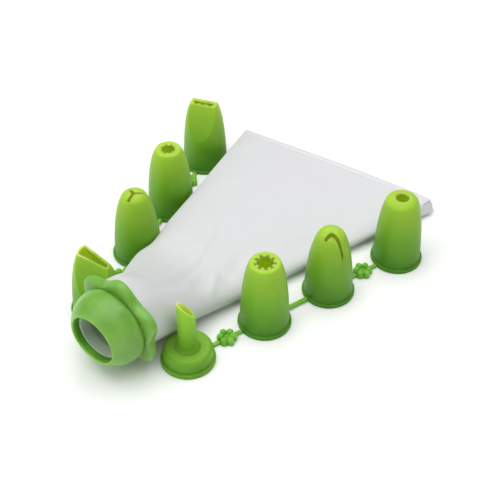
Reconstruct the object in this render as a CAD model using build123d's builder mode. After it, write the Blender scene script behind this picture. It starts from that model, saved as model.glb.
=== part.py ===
from build123d import *

import os
from math import asin, cos, degrees, hypot, pi, radians, sin

# Piping bag set: a film bag lying on its side with a screw collar and an inner coupler on its neck,
# and two strips of four piping nozzles, joined by little flower and rod links, one strip on each side.
# Millimetres. The origin is the centre of the collar's mouth. +X runs along the bag to its open end,
# +Z is up, and everything stands on the level that the collar's lowest lobe touches.

# ---- collar: a domed nose with a scalloped grip flange -------------------------------------------
mouth_clearance = 0.2
mouth_lip_length = 1.8
mouth_outer_radius = 16.3
dome_radius = 23.2
dome_length = 16.6
dome_fullness = 8.5
crease_radius = 21.9
crease_length = 19.2
grip_radius = 27.0
grip_lobe_height = 2.4
grip_lobes = 6
grip_thickness = 6.8
grip_edge_round = 2.6
grip_clocking = 36.7
collar_wall = 1.8

# ---- coupler: the funnel inside the neck that the collar screws down on ----------------------------
seat_clearance = 0.3
coupler_radius = 14.4
coupler_wall = 1.5
coupler_straight = 6.0
coupler_flare_radius = 18.6
coupler_length = 22.5

# ---- bag -------------------------------------------------------------------------------------------
bag_wall = 1.0
bag_start = 6.2
neck_clearance = 0.3
neck_radius = 22.4
neck_end = 27.5
bag_length = 226.0
bag_mouth_width = 140.0
bag_mouth_height = 12.8
bag_mouth_slant = 9.6
bag_mouth_rise = 11.0
bag_mouth_offset = -0.3
near_flare = 0.32
far_flare = 0.2
mouth_overrun = 18.0
# distance along, near edge's y and height, far edge's y and height, half the thickness
bag_stations = [
    (36, -22.8, 26.8, 22.4, 27.8, 21.2),
    (47, -22.8, 21.4, 24.2, 24.6, 18.6),
    (60, -22.4, 15.4, 30.8, 21.4, 15.6),
    (75, -23.2, 9.8, 36.4, 18.8, 12.6),
    (90, -26.4, 7.2, 36.6, 18.0, 10.6),
    (112, -32.4, 6.4, 42.6, 17.8, 9.6),
    (140, -40.8, 6.2, 49.0, 17.4, 8.8),
    (180, -53.6, 6.0, 58.2, 16.6, 7.8),
]
far_edge_lift = 9.6

# ---- nozzles ---------------------------------------------------------------------------------------
nozzle_height = 48.4
flange_radius = 16.0
flange_height = 2.4
flange_round = 0.9
foot_round = 0.3
body_foot_radius = 14.9
body_radius = 14.4
shoulder_radius = 12.4
tip_radius = 8.8
slim_shoulder_radius = 11.3
slim_tip_radius = 6.4
nozzle_wall = 1.4
tip_wall = 1.8
# heights of the body curve's control points, as shares of the nozzle's height
waist_share = 0.10
swell_share = 0.56
shoulder_share = 0.85

star_tip_round = 1.4
star_core_radius = 4.8
star_slot_reach = 6.6
star_slot_width = 1.9
star_slots = 9
round_tip_round = 4.6
round_hole_radius = 4.15
point_star_tip_radius = 7.8
point_star_radius = 5.3
point_star_root = 3.9
point_star_points = 8
y_slot_reach = 7.0
y_slot_width = 2.3
dome_tip_round = 5.0
leaf_slit_offset = 3.0
leaf_slit_width = 3.4
leaf_slit_end_width = 2.0
leaf_slit_angle = 48.0
leaf_long_arm = 9.2
leaf_short_arm = 5.2
petal_ridge_thickness = 2.4
petal_cut_angle = 23.0
petal_middle_height = 42.0
petal_facet_angle = 68.0
petal_facet_toe = 18.0
basket_tip_thickness = 6.4
basket_facet_angle = 66.0
basket_slot_length = 13.8
basket_slot_width = 3.4
basket_tooth = 1.0
basket_notches = 3
drum_radius = 14.5
drum_height = 10.4
drum_round = 2.0
tube_radius = 5.3
tube_wall = 1.1
tube_cone = 2.2
filler_middle_height = 40.4
filler_cut_angle = 49.0

# how each nozzle stands turned about its own axis, from the line of its strip
filler_turn = -4.0
open_star_turn = 0.0
leaf_turn = -125.2
petal_turn = -90.0
three_leg_turn = 59.0
basket_turn = 96.3

# ---- strips ----------------------------------------------------------------------------------------
near_strip_start = (42.8, -31.5)
near_strip_angle = -16.8
far_strip_start = (39.2, 37.3)
far_strip_angle = 16.0
flower_pitch = 53.0
rod_pitch = 46.8
gate_clearance = 0.3
gate_width = 2.2
gate_height = 1.8
flower_radius = 6.0
flower_petal_radius = 2.1
flower_petals = 6
flower_height = 4.6
flower_disc_height = 2.6
rod_radius = 1.4

# how far a cut runs past what it cuts, slack in telling one size from another, and points on a curve
overcut = 1.0
size_tolerance = 0.01
points_per_lobe = 8
turn_steps = 3600


def lowest_lobe_reach():
    """How far the lobed outline reaches below the axis, by the outline's own formula."""
    turns = [2 * pi * i / turn_steps for i in range(turn_steps)]
    return max(-lobed_radius(turn) * sin(turn) for turn in turns)


def lobed_radius(turn):
    """Radius of the grip's outline: a circle with a cosine wave of six lobes on it."""
    return grip_radius + grip_lobe_height * cos(grip_lobes * (turn - radians(grip_clocking)))


mouth_bore_radius = body_foot_radius + mouth_clearance
coupler_start = mouth_lip_length + flange_height + seat_clearance
axis_height = lowest_lobe_reach()
floor = -axis_height
bag_axis = Axis((0, 0, 0), (1, 0, 0))


os.makedirs("parts", exist_ok=True)


def finish(part, name):
    """Labels one piece and writes it."""
    part.label = name
    export_step(part, f"parts/{name}.step")


# ---- collar ----------------------------------------------------------------------------------------
def collar_part():
    """Dome revolved about the bag's axis, scalloped flange behind it, hollowed for film and coupler."""
    back = crease_length + grip_thickness
    bore_radius = flange_radius + neck_clearance
    samples = points_per_lobe * grip_lobes
    turns = [2 * pi * i / samples for i in range(samples)]
    outline = [(lobed_radius(t) * cos(t), lobed_radius(t) * sin(t)) for t in turns]
    with BuildPart() as grip:
        with BuildSketch(Plane(origin=(crease_length, 0, 0), x_dir=(0, 1, 0), z_dir=(1, 0, 0))):
            with BuildLine():
                Spline(*outline, periodic=True)
            make_face()
        extrude(amount=grip_thickness)
        fillet(grip.edges(), grip_edge_round)
    with BuildPart() as body:
        with BuildSketch(Plane.XY):
            with BuildLine():
                Polyline((back, 0), (0, 0), (0, mouth_outer_radius))
                Bezier(
                    (0, mouth_outer_radius),
                    (dome_fullness / 2, mouth_outer_radius + dome_fullness / 2),
                    (dome_length - dome_fullness, dome_radius),
                    (dome_length, dome_radius),
                )
                Polyline(
                    (dome_length, dome_radius),
                    (crease_length, crease_radius),
                    (back, crease_radius),
                    (back, 0),
                )
            make_face()
        revolve(axis=bag_axis)
        add(grip.part)
        with BuildSketch(Plane.XY):
            with BuildLine():
                Polyline(
                    (-overcut, 0),
                    (-overcut, mouth_bore_radius),
                    (mouth_lip_length, mouth_bore_radius),
                    (mouth_lip_length, bore_radius),
                    (coupler_start + coupler_straight, bore_radius),
                    (dome_length, dome_radius - collar_wall),
                    (crease_length, neck_radius + neck_clearance - collar_wall),
                    (back, neck_radius + neck_clearance),
                    (back + overcut, neck_radius + neck_clearance),
                    (back + overcut, 0),
                    close=True,
                )
            make_face()
        revolve(axis=bag_axis, mode=Mode.SUBTRACT)
    return body.part


collar = collar_part()
finish(collar, "collar")


# ---- coupler ---------------------------------------------------------------------------------------
def coupler_part():
    """Thin funnel: a straight front that takes the nozzle's foot, and a flare that wedges the film."""
    straight_end = coupler_start + coupler_straight
    end = coupler_start + coupler_length
    with BuildPart() as funnel:
        with BuildSketch(Plane.XY):
            with BuildLine():
                Polyline(
                    (coupler_start, coupler_radius - coupler_wall),
                    (coupler_start, coupler_radius),
                    (straight_end, coupler_radius),
                    (end, coupler_flare_radius),
                    (end, coupler_flare_radius - coupler_wall),
                    (straight_end, coupler_radius - coupler_wall),
                    close=True,
                )
            make_face()
        revolve(axis=bag_axis)
    return funnel.part


# ---- bag -------------------------------------------------------------------------------------------
def neck_profile(inset):
    """Solid of revolution that fills the film's neck, from its front edge to where it starts to flatten."""
    front = flange_radius - inset
    straight_end = coupler_start + coupler_straight
    with BuildPart() as neck:
        with BuildSketch(Plane.XY):
            with BuildLine():
                Polyline(
                    (bag_start - inset, 0),
                    (bag_start - inset, front),
                    (straight_end, front),
                    (crease_length, neck_radius - collar_wall - inset),
                    (crease_length + grip_thickness, neck_radius - inset),
                    (neck_end, neck_radius - inset),
                    (neck_end, 0),
                    close=True,
                )
            make_face()
        revolve(axis=bag_axis)
    return neck.part


def bag_section(along, near, far, half_height, inset):
    """Ellipse across the bag between its near and far edges, each given as (y, z)."""
    (near_y, near_z), (far_y, far_z) = near, far
    half_width = hypot(far_y - near_y, far_z - near_z) / 2
    tilt = degrees(asin((far_z - near_z) / (2 * half_width)))
    middle = (along, (near_y + far_y) / 2, (near_z + far_z) / 2)
    with BuildSketch(Plane(origin=middle, x_dir=(0, 1, 0), z_dir=(1, 0, 0))) as section:
        Ellipse(half_width - inset, half_height - inset, rotation=tilt)
    return section.sketch


def bag_body(inset):
    """Loft from the round neck to past the flat mouth, whose far edge is lifted over the nozzles."""
    half_mouth = bag_mouth_width / 2
    mouth_z = floor + bag_mouth_rise
    near_end = (bag_mouth_offset - half_mouth - near_flare * mouth_overrun, mouth_z - far_edge_lift / 2)
    far_end = (bag_mouth_offset + half_mouth + far_flare * mouth_overrun, mouth_z + far_edge_lift / 2)
    with BuildSketch(Plane(origin=(neck_end, 0, 0), x_dir=(0, 1, 0), z_dir=(1, 0, 0))) as ring:
        Circle(neck_radius - inset)
    sections = [ring.sketch]
    for along, near_y, near_z, far_y, far_z, half_height in bag_stations:
        near = (near_y, floor + near_z)
        far = (far_y, floor + far_z)
        sections.append(bag_section(along, near, far, half_height, inset))
    sections.append(bag_section(bag_length + mouth_overrun, near_end, far_end, bag_mouth_height / 2, inset))
    with BuildPart() as body:
        loft(sections, ruled=True)
    return body.part


def bag_part():
    """Film bag, open at both ends: the outer shape less the same shape drawn in by the film's wall."""
    with BuildPart() as bag:
        add(neck_profile(0))
        add(bag_body(0))
        add(neck_profile(bag_wall), mode=Mode.SUBTRACT)
        add(bag_body(bag_wall), mode=Mode.SUBTRACT)
        slant = radians(bag_mouth_slant)
        split(bisect_by=Plane((bag_length, 0, 0), z_dir=(cos(slant), sin(slant), 0)), keep=Keep.BOTTOM)
    return bag.part


# ---- nozzles ---------------------------------------------------------------------------------------
def side_plane(base):
    """Upright plane through a nozzle's axis: x outwards along the base's own x, y upwards."""
    return Plane(base.origin, x_dir=base.x_dir, z_dir=-base.y_dir)


def bullet(base, inset, radii, top, edge_round=0, cuts=()):
    """Bullet-shaped solid drawn in by inset under the given top, cut back by the outer facets in cuts.

    The radii are those of the shoulder and the tip."""
    foot = body_foot_radius - inset
    waist = body_radius - inset
    shoulder, tip = (radius - inset for radius in radii)
    with BuildPart() as solid:
        with BuildSketch(side_plane(base)):
            with BuildLine():
                Polyline((tip, top), (0, top), (0, 0), (foot, 0), (foot, flange_height))
                Bezier(
                    (foot, flange_height),
                    (waist, waist_share * nozzle_height),
                    (waist, swell_share * nozzle_height),
                    (shoulder, shoulder_share * nozzle_height),
                    (tip, top),
                )
            make_face()
        revolve(axis=Axis(base.origin, base.z_dir))
        if edge_round > inset:
            rim = solid.edges().filter_by(GeomType.CIRCLE).sort_by(Axis.Z)[-1]
            fillet(rim, edge_round - inset)
        for cut in cuts:
            split(bisect_by=cut.offset(-inset), keep=Keep.BOTTOM)
    return solid.part


def foot_flange(base):
    """Round-edged ring at the foot."""
    with BuildPart() as ring:
        with BuildSketch(base):
            Circle(flange_radius)
        extrude(amount=flange_height)
        fillet(ring.edges().filter_by(GeomType.CIRCLE).sort_by(Axis.Z)[-1], flange_round)
        fillet(ring.edges().filter_by(GeomType.CIRCLE).sort_by(Axis.Z)[0], foot_round)
    return ring.part


def hollow(base, outer, inner):
    """Outer shape and its flange, less the inner shape, open at the foot."""
    with BuildPart() as shell:
        add(foot_flange(base))
        add(outer)
        add(inner, mode=Mode.SUBTRACT)
    return shell.part


def tipped(base, hole, radii, edge_round):
    """Nozzle with a closed tip, rounded at its edge, and a hole of the given sketch cut down into it."""
    outer = bullet(base, 0, radii, nozzle_height, edge_round)
    inner = bullet(base, nozzle_wall, radii, nozzle_height - tip_wall, edge_round)
    with BuildPart() as nozzle:
        add(hollow(base, outer, inner))
        add(hole)
        extrude(amount=nozzle_height, mode=Mode.SUBTRACT)
    return nozzle.part


def hole_plane(base):
    """Level plane halfway up a nozzle, from which the holes in its tip are cut upwards."""
    return base.offset(nozzle_height / 2)


def open_star_hole(base):
    """Round hole with narrow radial slots."""
    with BuildSketch(hole_plane(base)) as hole:
        Circle(star_core_radius)
        with PolarLocations(star_slot_reach / 2, star_slots):
            Rectangle(star_slot_reach, star_slot_width)
    return hole.sketch


def round_hole(base):
    """Plain round hole."""
    with BuildSketch(hole_plane(base)) as hole:
        Circle(round_hole_radius)
    return hole.sketch


def pointed_star_hole(base):
    """Star with pointed rays."""
    half_turn = pi / point_star_points
    points = []
    for i in range(2 * point_star_points):
        radius = point_star_radius if i % 2 == 0 else point_star_root
        points.append((radius * cos(i * half_turn), radius * sin(i * half_turn)))
    with BuildSketch(hole_plane(base)) as hole:
        with BuildLine():
            Polyline(*points, close=True)
        make_face()
    return hole.sketch


def three_leg_hole(base):
    """Three slots that meet in the middle."""
    with BuildSketch(hole_plane(base)) as hole:
        Circle(y_slot_width / 2)
        with PolarLocations(y_slot_reach / 2, 3):
            Rectangle(y_slot_reach, y_slot_width)
    return hole.sketch


def leaf_slit(base):
    """Arrow-shaped slit: two tapering arms that meet off the axis and leave a pointed tongue between."""
    meeting = Vector(leaf_slit_offset, 0)
    half_width = leaf_slit_width / 2
    half_end = leaf_slit_end_width / 2
    with BuildSketch(hole_plane(base)) as slit:
        with Locations((leaf_slit_offset, 0)):
            Circle(half_width)
        for angle, length in ((leaf_slit_angle, leaf_long_arm), (-leaf_slit_angle, leaf_short_arm)):
            along = Vector(1, 0).rotate(Axis.Z, angle)
            side = Vector(0, 1).rotate(Axis.Z, angle)
            end = meeting + along * length
            corners = (meeting - side * half_width, end - side * half_end, end + side * half_end)
            with BuildLine():
                Polyline(*corners, meeting + side * half_width, close=True)
            make_face()
    return slit.sketch


def facet(base, reach, lean, side, toe=0):
    """Plane of a flat side that leans in to the given reach at the nozzle's top; side is +1 or -1 in y.

    With a toe angle, the two sides also close in on each other towards +x."""
    outwards = base.y_dir * (side * cos(radians(toe))) + base.x_dir * sin(radians(toe))
    normal = outwards * sin(radians(lean)) + base.z_dir * cos(radians(lean))
    origin = base.origin + base.z_dir * nozzle_height + base.y_dir * (side * reach)
    return Plane(origin, x_dir=base.x_dir, z_dir=normal)


def cut_top(base, height, slope):
    """Plane that cuts a tip off at a slope, low on the base's +x side."""
    angle = radians(slope)
    normal = base.x_dir * sin(angle) + base.z_dir * cos(angle)
    return Plane(base.origin + base.z_dir * height, x_dir=base.y_dir, z_dir=normal)


def petal_nozzle(base):
    """Nozzle pressed flat at its tip and cut off at a slope, so its mouth is a long drop."""
    reach = petal_ridge_thickness / 2
    sides = [facet(base, reach, petal_facet_angle, side, petal_facet_toe) for side in (1, -1)]
    outer = bullet(base, 0, slim_radii, nozzle_height, cuts=sides)
    inner = bullet(base, nozzle_wall, slim_radii, nozzle_height, cuts=sides)
    with BuildPart() as nozzle:
        add(hollow(base, outer, inner))
        split(bisect_by=cut_top(base, petal_middle_height, petal_cut_angle), keep=Keep.BOTTOM)
    return nozzle.part


def basket_slot(base):
    """Straight slot with square notches along one side."""
    half_length = basket_slot_length / 2
    half_width = basket_slot_width / 2
    pitch = basket_slot_length / basket_notches
    with BuildSketch(hole_plane(base)) as slot:
        Rectangle(basket_slot_length, basket_slot_width)
        with Locations((0, half_width)):
            with GridLocations(pitch, 0, basket_notches, 1):
                Rectangle(pitch / 2, 2 * basket_tooth)
    return slot.sketch


def basket_nozzle(base):
    """Nozzle pressed to a flat ridge with a toothed slot along it."""
    sides = [facet(base, basket_tip_thickness / 2, basket_facet_angle, side) for side in (1, -1)]
    outer = bullet(base, 0, full_radii, nozzle_height, cuts=sides)
    inner = bullet(base, nozzle_wall, full_radii, nozzle_height - tip_wall, cuts=sides)
    with BuildPart() as nozzle:
        add(hollow(base, outer, inner))
        add(basket_slot(base))
        extrude(amount=nozzle_height, mode=Mode.SUBTRACT)
    return nozzle.part


def is_drum_rim(edge):
    """True for a circle as wide as the filler's drum."""
    return abs(edge.radius - drum_radius) < size_tolerance


def filler_nozzle(base):
    """Low drum with a slim tube on it, cut off at a slope, for filling pastries."""
    bore = tube_radius - tube_wall
    drum_bore = drum_radius - nozzle_wall
    under = drum_height - nozzle_wall
    slope = radians(filler_cut_angle)
    uncut = filler_middle_height + tube_radius * sin(slope) / cos(slope)
    with BuildPart() as nozzle:
        add(foot_flange(base))
        with BuildSketch(side_plane(base)):
            with BuildLine():
                Polyline(
                    (bore, uncut),
                    (tube_radius, uncut),
                    (tube_radius, drum_height + tube_cone),
                    (tube_radius + tube_cone, drum_height),
                    (drum_radius, drum_height),
                    (drum_radius, 0),
                    (drum_bore, 0),
                    (drum_bore, under),
                    (bore + tube_cone, under),
                    (bore, under + tube_cone),
                    close=True,
                )
            make_face()
        revolve(axis=Axis(base.origin, base.z_dir))
        drum_rims = nozzle.edges().filter_by(GeomType.CIRCLE).filter_by(is_drum_rim)
        fillet(drum_rims.sort_by(Axis.Z)[-1], drum_round)
        with BuildSketch(base):
            Circle(drum_bore)
        extrude(amount=flange_height, mode=Mode.SUBTRACT)
        split(bisect_by=cut_top(base, filler_middle_height, filler_cut_angle), keep=Keep.BOTTOM)
    return nozzle.part


# ---- links -----------------------------------------------------------------------------------------
def flower_link(base, reach):
    """Little flower between two flanges: round petals about a raised middle, with a gate each way."""
    ring = flower_radius - flower_petal_radius
    with BuildPart() as link:
        with BuildSketch(base):
            Circle(ring)
        extrude(amount=flower_disc_height)
        with BuildSketch(base):
            Rectangle(2 * reach, gate_width)
        extrude(amount=gate_height)
        ball_height = flower_height - flower_petal_radius
        with BuildSketch(base):
            with PolarLocations(ring, flower_petals, start_angle=180 / flower_petals):
                Circle(flower_petal_radius)
        extrude(amount=ball_height)
        with Locations(base.offset(ball_height)):
            with PolarLocations(ring, flower_petals, start_angle=180 / flower_petals):
                Sphere(flower_petal_radius)
    return link.part


def rod_link(base, reach):
    """Round rod lying between two flanges."""
    start = base.origin + base.z_dir * rod_radius - base.x_dir * reach
    with BuildPart() as rod:
        with BuildSketch(Plane(start, x_dir=base.y_dir, z_dir=base.x_dir)):
            Circle(rod_radius)
        extrude(amount=2 * reach)
    return rod.part


def strip_planes(start, angle):
    """Base planes of a strip's four nozzles and of the three links between them."""
    direction = (cos(radians(angle)), sin(radians(angle)))
    along = [0, flower_pitch, flower_pitch + rod_pitch, 2 * flower_pitch + rod_pitch]
    middles = [(a + b) / 2 for a, b in zip(along, along[1:])]

    def place(distance):
        x = start[0] + distance * direction[0]
        y = start[1] + distance * direction[1]
        return Plane(origin=(x, y, floor), x_dir=(*direction, 0), z_dir=(0, 0, 1))

    return [place(a) for a in along], [place(a) for a in middles]


def turned(plane, angle):
    """The same base plane with its x direction turned about the vertical."""
    return plane.rotated((0, 0, angle))


full_radii = (shoulder_radius, tip_radius)
slim_radii = (slim_shoulder_radius, slim_tip_radius)
pointed_radii = (shoulder_radius, point_star_tip_radius)

near_nozzles, near_links = strip_planes(near_strip_start, near_strip_angle)
far_nozzles, far_links = strip_planes(far_strip_start, far_strip_angle)

finish(coupler_part(), "coupler")
finish(bag_part(), "bag")

finish(filler_nozzle(turned(near_nozzles[0], filler_turn)), "filler_nozzle")
open_star = turned(near_nozzles[1], open_star_turn)
finish(tipped(open_star, open_star_hole(open_star), full_radii, star_tip_round), "open_star_nozzle")
leaf = turned(near_nozzles[2], leaf_turn)
finish(tipped(leaf, leaf_slit(leaf), slim_radii, dome_tip_round), "leaf_nozzle")
plain = near_nozzles[3]
finish(tipped(plain, round_hole(plain), full_radii, round_tip_round), "round_nozzle")

finish(petal_nozzle(turned(far_nozzles[0], petal_turn)), "petal_nozzle")
three_leg = turned(far_nozzles[1], three_leg_turn)
finish(tipped(three_leg, three_leg_hole(three_leg), slim_radii, dome_tip_round), "three_leg_nozzle")
pointed = far_nozzles[2]
finish(tipped(pointed, pointed_star_hole(pointed), pointed_radii, star_tip_round), "pointed_star_nozzle")
finish(basket_nozzle(turned(far_nozzles[3], basket_turn)), "basket_nozzle")

flower_reach = flower_pitch / 2 - flange_radius - gate_clearance
rod_reach = rod_pitch / 2 - flange_radius - gate_clearance
for strip, links in (("near", near_links), ("far", far_links)):
    finish(flower_link(links[0], flower_reach), f"{strip}_front_flower")
    finish(rod_link(links[1], rod_reach), f"{strip}_rod")
    finish(flower_link(links[2], flower_reach), f"{strip}_back_flower")
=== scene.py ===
"""Looks of the piping bag set: film bag, moulded collar and coupler, and eight moulded nozzles."""

import math

import bpy
import numpy as np
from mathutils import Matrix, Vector


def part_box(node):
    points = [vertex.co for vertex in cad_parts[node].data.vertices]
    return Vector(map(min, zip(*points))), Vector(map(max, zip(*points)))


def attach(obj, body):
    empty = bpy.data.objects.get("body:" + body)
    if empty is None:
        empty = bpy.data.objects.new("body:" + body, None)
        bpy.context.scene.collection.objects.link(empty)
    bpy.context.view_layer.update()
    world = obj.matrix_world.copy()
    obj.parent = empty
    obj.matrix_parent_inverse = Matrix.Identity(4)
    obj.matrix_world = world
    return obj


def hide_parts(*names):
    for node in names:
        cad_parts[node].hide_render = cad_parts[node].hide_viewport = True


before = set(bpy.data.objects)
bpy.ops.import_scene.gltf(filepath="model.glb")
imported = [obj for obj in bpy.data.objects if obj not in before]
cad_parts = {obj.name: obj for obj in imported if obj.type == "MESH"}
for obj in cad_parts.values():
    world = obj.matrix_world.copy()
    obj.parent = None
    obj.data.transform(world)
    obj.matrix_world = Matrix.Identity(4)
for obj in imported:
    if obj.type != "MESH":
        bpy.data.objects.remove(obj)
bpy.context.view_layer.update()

MM = 0.001
NOZZLES = (
    "filler_nozzle",
    "open_star_nozzle",
    "leaf_nozzle",
    "round_nozzle",
    "petal_nozzle",
    "three_leg_nozzle",
    "pointed_star_nozzle",
    "basket_nozzle",
)
LINKS = [f"{side}_{kind}" for side in ("near", "far") for kind in ("front_flower", "rod", "back_flower")]
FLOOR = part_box("round_nozzle")[0][2] / MM
NOZZLE_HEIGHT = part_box("round_nozzle")[1][2] / MM - FLOOR


# ---- colour and materials --------------------------------------------------------------------------
def linear(hex_colour):
    """Turns an sRGB hex colour into linear RGBA."""
    channels = [int(hex_colour[i : i + 2], 16) / 255 for i in (1, 3, 5)]
    return [c / 12.92 if c <= 0.04045 else ((c + 0.055) / 1.055) ** 2.4 for c in channels] + [1.0]


def node(tree, kind, settings=None, **links):
    """Adds a shader node, sets its properties and inputs, and links the sockets named in links."""
    made = tree.nodes.new(kind)
    for key, value in (settings or {}).items():
        if key in made.inputs:
            made.inputs[key].default_value = value
        else:
            setattr(made, key, value)
    for key, socket in links.items():
        tree.links.new(socket, made.inputs[key.replace("_", " ")])
    return made


def blank_material(name, **values):
    """New material with a Principled shader whose inputs take the values; returns it, tree and shader."""
    material = bpy.data.materials.new(name)
    material.use_nodes = True
    tree = material.node_tree
    shader = tree.nodes["Principled BSDF"]
    for key, value in values.items():
        shader.inputs[key.replace("_", " ")].default_value = value
    return material, tree, shader


def drifting(tree, place, cloud_mm, base, drift):
    """Factor that swings about a base in clouds of the given size; returns its socket.

    The base is a number or a socket."""
    clouds = node(tree, "ShaderNodeTexNoise", {"Scale": 1 / (cloud_mm * MM), "Detail": 4.0}, Vector=place)
    swing = node(tree, "ShaderNodeMath", {"operation": "SUBTRACT"})
    tree.links.new(clouds.outputs["Fac"], swing.inputs[0])
    swing.inputs[1].default_value = 0.5
    factor = node(tree, "ShaderNodeMath", {"operation": "MULTIPLY_ADD"})
    tree.links.new(swing.outputs["Value"], factor.inputs[0])
    factor.inputs[1].default_value = drift
    if isinstance(base, float):
        factor.inputs[2].default_value = base
    else:
        tree.links.new(base, factor.inputs[2])
    return factor.outputs["Value"]


def shades(tree, factor, colours):
    """Colour ramp through evenly spaced sRGB shades; returns its socket."""
    made = node(tree, "ShaderNodeValToRGB", Fac=factor)
    ramp = made.color_ramp
    for k in range(1, len(colours) - 1):
        ramp.elements.new(k / (len(colours) - 1))
    for element, colour in zip(ramp.elements, colours):
        element.color = linear(colour)
    return made.outputs["Color"]


def clouded(cloud_mm, deep, pale):
    """Colour nodes that drift between two shades in clouds of the given size."""
    middle = 0.5
    drift = 2.4

    def colour_of(tree, place):
        return shades(tree, drifting(tree, place, cloud_mm, middle, drift), (deep, pale))

    return colour_of


def graded(axis, start, end, cloud_mm, drift, colours):
    """Colour nodes that pass through shades between two stations of an axis, in mm, with a slow drift."""

    def colour_of(tree, place):
        split = node(tree, "ShaderNodeSeparateXYZ", Vector=place)
        ends = {"From Min": start * MM, "From Max": end * MM}
        share = node(tree, "ShaderNodeMapRange", ends, Value=split.outputs[axis])
        factor = drifting(tree, place, cloud_mm, share.outputs["Result"], drift)
        return shades(tree, factor, colours)

    return colour_of


def grained(tree, place, grain_mm, strength):
    """Bump of a grain of the given size, coarser than the real one so that it shows; returns the node."""
    grain = node(tree, "ShaderNodeTexNoise", {"Scale": 1 / (grain_mm * MM), "Detail": 2.0}, Vector=place)
    depth = {"Strength": strength, "Distance": 0.1 * MM}
    return node(tree, "ShaderNodeBump", depth, Height=grain.outputs["Fac"])


def moulded_plastic(name, colour_of, roughness, shine=0.2):
    """Injection-moulded polypropylene: satin skin with a fine orange peel, coloured through and translucent.

    Light passes through its 1.4 mm walls. colour_of adds the colour's nodes and returns their socket."""
    material, tree, shader = blank_material(
        name,
        Roughness=roughness,
        IOR=1.49,
        Specular_IOR_Level=shine,
        Subsurface_Weight=1.0,
        Subsurface_Radius=(0.78, 1.0, 0.35),
        Subsurface_Scale=7.0 * MM,
    )
    place = node(tree, "ShaderNodeTexCoord").outputs["Object"]
    bump = grained(tree, place, 1.1, 0.12)
    tree.links.new(colour_of(tree, place), shader.inputs["Base Color"])
    tree.links.new(bump.outputs["Normal"], shader.inputs["Normal"])
    return material


def nozzle_colour_with_painted_light(axis, painted_shade_height, painted_light_height):
    """Colour nodes of a nozzle on a plan position: painted shade pales it from a deep green at the shaded
    height to a pale green at the lit one, as if lit from above, and its inside, found by the faces that
    look towards the axis, is a painted yellow green glow for light shining through its walls."""
    # painted shade: deep green at the floor to pale green at the top, as light from above falls on a nozzle
    shaded_to_lit_greens = ("#45831a", "#76af2b", "#a3cd40")
    outer_colour_with_painted_shade = graded("Z", FLOOR + painted_shade_height, FLOOR + painted_light_height, 7, 0.16, shaded_to_lit_greens)

    def colour_of(tree, place):
        normal = node(tree, "ShaderNodeTexCoord").outputs["Normal"]
        centred = node(tree, "ShaderNodeMapping", {"Location": (-axis[0], -axis[1], 0.0)}, Vector=place)
        in_plan = {"Scale": (1.0, 1.0, 0.0)}
        flat = node(tree, "ShaderNodeMapping", in_plan, Vector=centred.outputs["Vector"])
        unit = {"operation": "NORMALIZE"}
        outward = node(tree, "ShaderNodeVectorMath", unit, Vector=flat.outputs["Vector"])
        facing = node(tree, "ShaderNodeVectorMath", {"operation": "DOT_PRODUCT"})
        tree.links.new(outward.outputs["Vector"], facing.inputs[0])
        tree.links.new(normal, facing.inputs[1])
        # mask of the painted glow: faces that look towards the nozzle's axis
        painted_glow_facing = {"From Min": 0.05, "From Max": -0.25}
        inside = node(tree, "ShaderNodeMapRange", painted_glow_facing, Value=facing.outputs["Value"])
        # a Mix node's colours are its inputs 6 and 7 and its output 2
        mix = node(tree, "ShaderNodeMix", {"data_type": "RGBA"})
        tree.links.new(inside.outputs["Result"], mix.inputs["Factor"])
        tree.links.new(outer_colour_with_painted_shade(tree, place), mix.inputs[6])
        # painted glow: the inside's bright yellow green stands in for light shining through the walls
        mix.inputs[7].default_value = linear("#d2fc74")
        return mix.outputs[2]

    return colour_of


def film_plastic(name, colour_of, roughness, slack_mm, slack_strength):
    """Frosted plastic: milky, soft sheen, fine matt grain on slow slack waves, light scattered in it."""
    material, tree, shader = blank_material(
        name,
        Roughness=roughness,
        IOR=1.51,
        Subsurface_Weight=0.2,
        Subsurface_Radius=(1.0, 1.0, 1.0),
        Subsurface_Scale=1.0 * MM,
    )
    place = node(tree, "ShaderNodeTexCoord").outputs["Object"]
    waviness = {"Scale": 1 / (slack_mm * MM), "Detail": 1.5, "Distortion": 0.8}
    slack = node(tree, "ShaderNodeTexNoise", waviness, Vector=place)
    depth = {"Strength": slack_strength, "Distance": 1.2 * MM}
    waves = node(tree, "ShaderNodeBump", depth, Height=slack.outputs["Fac"])
    bump = grained(tree, place, 1.6, 0.08)
    tree.links.new(waves.outputs["Normal"], bump.inputs["Normal"])
    tree.links.new(colour_of(tree, place), shader.inputs["Base Color"])
    tree.links.new(bump.outputs["Normal"], shader.inputs["Normal"])
    return material


NOZZLE_ROUGHNESS = 0.42
# the span, from the floor, over which the filler nozzle's painted shade runs; starting below the floor gives
# its drum a mid green
FILLER_PAINTED_SHADE_HEIGHTS = (-25.0, 62.0)
collar_green = moulded_plastic("collar_polypropylene", clouded(14, "#6ca238", "#86bb54"), 0.36, 0.5)
link_green = moulded_plastic("link_polypropylene", clouded(9, "#72b03a", "#82be49"), NOZZLE_ROUGHNESS)
natural = film_plastic("natural_polypropylene", clouded(20, "#b0c6aa", "#bed0b8"), 0.35, 30, 0.05)
# painted shade: the film is a little darker towards the neck, where its gathers and slope lie in shade, and
# paler towards the mouth
milky = graded("X", 20, 190, 30, 0.45, ("#d6d7d8", "#d7d7da", "#dadadd"))
bag_film = film_plastic("frosted_polyethylene_film", milky, 0.45, 17, 0.35)


def give(piece, material):
    """Gives a piece one material in place of its own."""
    piece.data.materials.clear()
    piece.data.materials.append(material)


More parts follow.
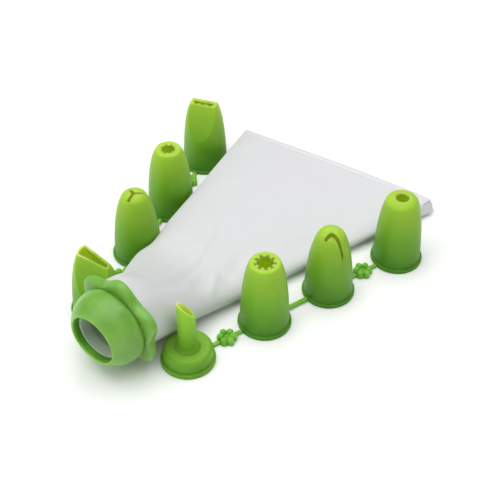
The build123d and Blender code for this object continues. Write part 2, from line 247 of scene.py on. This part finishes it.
for name in NOZZLES:
    low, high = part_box(name)
    axis = ((low[0] + high[0]) / 2, (low[1] + high[1]) / 2)
    # each nozzle's colour carries painted shade up its height and a painted glow inside
    painted_shade_span = FILLER_PAINTED_SHADE_HEIGHTS if name == "filler_nozzle" else (0.0, NOZZLE_HEIGHT)
    green = moulded_plastic(f"polypropylene_painted_light_{name}", nozzle_colour_with_painted_light(axis, *painted_shade_span), NOZZLE_ROUGHNESS)
    give(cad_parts[name], green)
for name in LINKS:
    give(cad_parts[name], link_green)
give(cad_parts["coupler"], natural)


# ---- surfaces --------------------------------------------------------------------------------------
def lattice(name, points, material, wrap_rows=False, wrap_columns=False):
    """Mesh piece from a grid of points in millimetres, rows by columns, with quads between neighbours."""
    rows, columns = points.shape[:2]
    index = np.arange(rows * columns).reshape(rows, columns)
    if wrap_rows:
        index = np.vstack([index, index[:1]])
    if wrap_columns:
        index = np.hstack([index, index[:, :1]])
    corners = [index[:-1, :-1], index[1:, :-1], index[1:, 1:], index[:-1, 1:]]
    quads = np.stack(corners, axis=-1).reshape(-1, 4)
    mesh = bpy.data.meshes.new(name)
    mesh.from_pydata((points.reshape(-1, 3) * MM).tolist(), [], quads.tolist())
    mesh.polygons.foreach_set("use_smooth", np.ones(len(quads), dtype=bool))
    mesh.materials.append(material)
    piece = bpy.data.objects.new(name, mesh)
    bpy.context.scene.collection.objects.link(piece)
    return piece


def flowing(at, stations, values):
    """Smooth curve through station values: cubic pieces whose slopes are those of the neighbours' chord."""
    slopes = np.gradient(values, stations)
    i = np.clip(np.searchsorted(stations, at, side="right") - 1, 0, len(stations) - 2)
    span = stations[i + 1] - stations[i]
    t = (at - stations[i]) / span
    return (
        (1 + 2 * t) * (1 - t) ** 2 * values[i]
        + t * (1 - t) ** 2 * span * slopes[i]
        + t**2 * (3 - 2 * t) * values[i + 1]
        - t**2 * (1 - t) * span * slopes[i + 1]
    )


def bump_at(value, centre, width):
    """Bell curve of height one round a centre."""
    return np.exp(-(((value - centre) / width) ** 2))


def eased(value, start, end):
    """Smooth step from nought at start to one at end."""
    t = np.clip((value - start) / (end - start), 0, 1)
    return t * t * (3 - 2 * t)


# ---- collar ----------------------------------------------------------------------------------------
MOUTH_BORE = 15.1
MOUTH_OUTER = 16.3
LIP_LENGTH = 1.8
SEAT_RADIUS = 16.3
SEAT_END = 10.4
DOME_RADIUS = 23.2
DOME_LENGTH = 16.4
DOME_FULLNESS = 8.5
DOME_END = DOME_LENGTH - 1.0
CREASE_AT = 18.9
CREASE_RADIUS = 21.5
GRIP_BACK = 26.0
GRIP_PUFF = 0.72
GRIP_RADIUS = 27.0
GRIP_LOBE = 2.4
GRIP_LOBES = 6
GRIP_CLOCKING = math.radians(36.7)
BACK_BORE = 22.75
CREASE_BORE = BACK_BORE - 1.8


def arc(centre, reach, start, end, steps, power=1.0):
    """Points, as (x, r), between two angles of an oval whose sine and cosine are raised to a power."""
    turn = np.radians(np.linspace(start, end, steps))
    x = centre[0] + reach[0] * np.sign(np.cos(turn)) * np.abs(np.cos(turn)) ** power
    r = centre[1] + reach[1] * np.sign(np.sin(turn)) * np.abs(np.sin(turn)) ** power
    return np.stack([x, r], axis=-1)


def bezier(controls, steps):
    """Cubic curve of four control points."""
    t = np.linspace(0, 1, steps)[:, None]
    a, b, c, d = (np.array(p) for p in controls)
    return (1 - t) ** 3 * a + 3 * t * (1 - t) ** 2 * b + 3 * t**2 * (1 - t) * c + t**3 * d


def straight(start, end, steps):
    """Evenly spaced points on a straight line."""
    return np.linspace(start, end, steps)


def collar_profile():
    """Closed outline of the collar's wall as (x, r): rim, dome, crease, puffed grip, then the bore."""
    rim = (MOUTH_OUTER - MOUTH_BORE) / 2
    dome = (
        (rim * 0.55, MOUTH_OUTER),
        (DOME_FULLNESS / 2, MOUTH_OUTER + DOME_FULLNESS / 2),
        (DOME_LENGTH - DOME_FULLNESS, DOME_RADIUS),
        (DOME_END, DOME_RADIUS),
    )
    middle = (CREASE_AT + GRIP_BACK) / 2
    half = (GRIP_BACK - CREASE_AT) / 2
    shoulder = (
        (DOME_END, DOME_RADIUS),
        (DOME_LENGTH + 0.9, DOME_RADIUS),
        (CREASE_AT - 0.6, CREASE_RADIUS + 0.6),
        (CREASE_AT, CREASE_RADIUS),
    )
    return np.concatenate(
        [
            arc((rim, MOUTH_BORE + rim), (rim, rim), 270, 130, 9),
            bezier(dome, 40)[1:],
            bezier(shoulder, 10)[1:],
            arc((middle, CREASE_RADIUS), (half, GRIP_RADIUS - CREASE_RADIUS), 180, 9, 46, GRIP_PUFF)[1:],
            straight((GRIP_BACK - 0.3, BACK_BORE), (CREASE_AT, CREASE_BORE), 6),
            straight((CREASE_AT, CREASE_BORE), (SEAT_END, SEAT_RADIUS), 8)[1:],
            straight((SEAT_END, SEAT_RADIUS), (LIP_LENGTH, SEAT_RADIUS), 8)[1:],
            straight((LIP_LENGTH, SEAT_RADIUS), (LIP_LENGTH, MOUTH_BORE), 4)[1:],
            straight((LIP_LENGTH, MOUTH_BORE), (rim, MOUTH_BORE), 4)[1:-1],
        ]
    )


def collar_surface(columns):
    """The outline turned about the bag's axis; beyond the crease its radius waves in six lobes."""
    x, r = collar_profile().T[:, :, None]
    turn = -np.linspace(0, 2 * np.pi, columns, endpoint=False)[None, :]
    lobed = eased(r, CREASE_RADIUS, GRIP_RADIUS) * (x > CREASE_AT - 0.1)
    radius = r + lobed * GRIP_LOBE * np.cos(GRIP_LOBES * (turn - GRIP_CLOCKING))
    return np.stack([x + 0 * turn, radius * np.cos(turn), radius * np.sin(turn)], axis=-1)


collar = lattice("collar_shell", collar_surface(240), collar_green, wrap_rows=True, wrap_columns=True)
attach(collar, "collar")
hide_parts("collar")


# ---- bag -------------------------------------------------------------------------------------------
# distance along, near edge y and height, far edge y and height, half thickness, thinning to the far edge
BAG = np.array(
    [
        (6.3, -15.7, 29.25, 15.7, 29.25, 15.7, 0.0),
        (11.0, -15.9, 29.25, 15.9, 29.25, 15.9, 0.0),
        (19.0, -20.2, 29.25, 20.2, 29.25, 20.2, 0.0),
        (26.0, -22.0, 29.25, 22.0, 29.25, 22.0, 0.0),
        (36.0, -22.8, 26.8, 22.3, 27.8, 21.0, 0.0),
        (47.0, -22.8, 21.4, 24.1, 24.6, 18.2, 0.05),
        (60.0, -22.4, 15.4, 30.6, 21.4, 15.0, 0.15),
        (75.0, -23.2, 9.8, 36.2, 18.8, 12.0, 0.3),
        (86.0, -25.4, 7.4, 36.4, 18.2, 10.2, 0.42),
        (103.0, -30.0, 6.6, 41.0, 18.0, 9.0, 0.5),
        (140.0, -41.0, 6.0, 49.2, 17.4, 7.8, 0.65),
        (180.0, -53.8, 5.8, 58.4, 16.6, 6.6, 0.75),
        (226.0, -68.4, 6.0, 69.0, 15.2, 7.0, 0.9),
        (244.0, -73.6, 6.2, 72.6, 14.8, 7.4, 0.9),
    ]
)
MOUTH_AT = 226.0
MOUTH_HALF_WIDTH = 69.0
MOUTH_SLANT = math.radians(9.6)
FILM = 0.3
# from (distance along, share across) to the same, half width and height in millimetres
FOLDS = (
    ((82, -0.14), (126, 0.32), 2.4, 0.55),
    ((68, -0.36), (100, -0.02), 2.8, -0.55),
    ((77, -0.84), (93, -0.5), 2.2, 0.9),
    ((70, -0.64), (86, -0.4), 3.2, -0.8),
    ((94, -0.66), (116, -0.46), 3.4, -0.6),
    ((50, -0.5), (74, -0.86), 2.6, 0.5),
    ((112, -0.3), (168, -0.12), 4.0, 0.35),
    ((128, -0.78), (196, -0.7), 3.0, -0.4),
    ((150, 0.5), (204, 0.58), 5.0, 0.3),
)


def creases(along, across, reach, upper):
    """Height of the film's creases in millimetres: gathers that fan out of the neck and die away, and
    ridges and valleys along the lines in FOLDS, each a bell across its line that fades at its ends."""
    fan = np.sin(9.0 * across + 0.035 * along) + 0.6 * np.sin(17.0 * across - 0.05 * along + 1.3)
    total = 0.2 * fan * eased(along, 26, 44) * (1 - eased(along, 56, 110))
    for (x0, c0), (x1, c1), width, height in FOLDS:
        run = (along - x0) / (x1 - x0)
        off = (across - c0 - (c1 - c0) * run) * reach
        lean = np.cos(np.arctan2((c1 - c0) * 35.0, x1 - x0))
        ends = eased(run, -0.25, 0.35) * (1 - eased(run, 0.65, 1.25))
        total = total + height * ends * bump_at(off * lean, 0, width)
    return upper * total


def bag_surface(rows, columns):
    """Film shell: at each distance an oval between two edges, whose thickness falls off to the far edge.

    A smaller power of the sine makes its near half fuller towards the mouth. The end rows are sheared so
    that the mouth is cut aslant. Creases lift the top, the near side is pushed out and in just before the
    mouth, and a welded hem runs 3 mm inside the mouth's edge."""
    theta = np.linspace(-np.pi, np.pi, columns, endpoint=False)[None, :]
    share = np.linspace(0, 1, rows)[:, None]
    across = -np.cos(theta)
    upper = np.clip(np.sin(theta), 0, 1) ** 0.6
    start = BAG[0, 0]
    slanted = MOUTH_AT - np.tan(MOUTH_SLANT) * across * MOUTH_HALF_WIDTH
    along = start + (1 - (1 - share) ** 1.5) * (slanted - start)
    near_y, near_z, far_y, far_z, half, thin = (flowing(along, BAG[:, 0], BAG[:, k]) for k in range(1, 7))
    swollen = 0.2 * eased(along, 95, 140) + 0.48 * eased(along, 196, 228)
    fullness = 1 - (1 - eased(across, -1, -0.2)) * swollen
    lens = np.sign(np.sin(theta)) * np.abs(np.sin(theta)) ** fullness * (1 - thin * (across + 1) / 2)
    reach_y = (far_y - near_y) / 2
    reach_z = (far_z - near_z) / 2
    to_mouth = slanted - along
    pushed = 3.0 * bump_at(theta, 0.1, 0.12) - 1.6 * bump_at(theta, -0.35, 0.25)
    dent = bump_at(to_mouth, -2, 11) * pushed
    hem = 0.4 * bump_at(to_mouth, 3.2, 0.7) * np.sign(np.sin(theta)) * np.abs(np.sin(theta)) ** 0.5
    y = (near_y + far_y) / 2 + across * reach_y + dent
    z = (near_z + far_z) / 2 + across * reach_z + lens * half
    z = z + creases(along, across, reach_y, upper) - hem
    return np.stack([along, y, z + FLOOR], axis=-1)


bag = lattice("film_bag", bag_surface(250, 184), bag_film, wrap_columns=True)
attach(bag, "bag")
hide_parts("bag")
film = bag.modifiers.new("film", "SOLIDIFY")
film.thickness = FILM * MM
film.offset = 0.0


# ---- studio ----------------------------------------------------------------------------------------
def aimed(data, place, target):
    """Puts a light or camera in the scene, looking from a place to a target, both in metres."""
    made = bpy.data.objects.new(data.name, data)
    bpy.context.scene.collection.objects.link(made)
    made.location = place
    made.rotation_euler = (Vector(target) - Vector(place)).to_track_quat("-Z", "Y").to_euler()
    return made


def studio():
    """Pale floor, large soft overhead light, a weaker light from the left and an even pale surround."""
    half = 4.0
    clearance = 0.0002
    z = FLOOR * MM - clearance
    corners = [(-half, -half, z), (half, -half, z), (half, half, z), (-half, half, z)]
    mesh = bpy.data.meshes.new("floor")
    mesh.from_pydata(corners, [], [(0, 1, 2, 3)])
    mesh.materials.append(blank_material("studio_floor", Base_Color=linear("#ffffff"), Roughness=0.9)[0])
    floor = bpy.data.objects.new("floor", mesh)
    bpy.context.scene.collection.objects.link(floor)
    world = bpy.data.worlds.new("surround")
    world.use_nodes = True
    world.node_tree.nodes["Background"].inputs["Color"].default_value = (1.0, 1.0, 1.0, 1.0)
    world.node_tree.nodes["Background"].inputs["Strength"].default_value = 0.27
    bpy.context.scene.world = world
    lights = (("overhead", (0.12, 0.04, 1.0), 1.3, 12.6), ("left", (-0.75, 0.3, 0.6), 0.6, 2.4))
    for name, place, size, power in lights:
        light = bpy.data.lights.new(name, "AREA")
        light.size = size
        light.energy = power
        aimed(light, place, (0.12, 0.0, 0.0))


def camera():
    """Camera above the near left, looking along the bag."""
    lens = bpy.data.cameras.new("camera")
    lens.lens = 84.48
    lens.sensor_width = 36.0
    lens.clip_start = 0.01
    place = (-281.7 * MM, -342.8 * MM, (506.7 + FLOOR) * MM)
    bpy.context.scene.camera = aimed(lens, place, (135.6 * MM, -1.3 * MM, FLOOR * MM))


studio()
camera()
bpy.context.scene.view_settings.view_transform = "Standard"
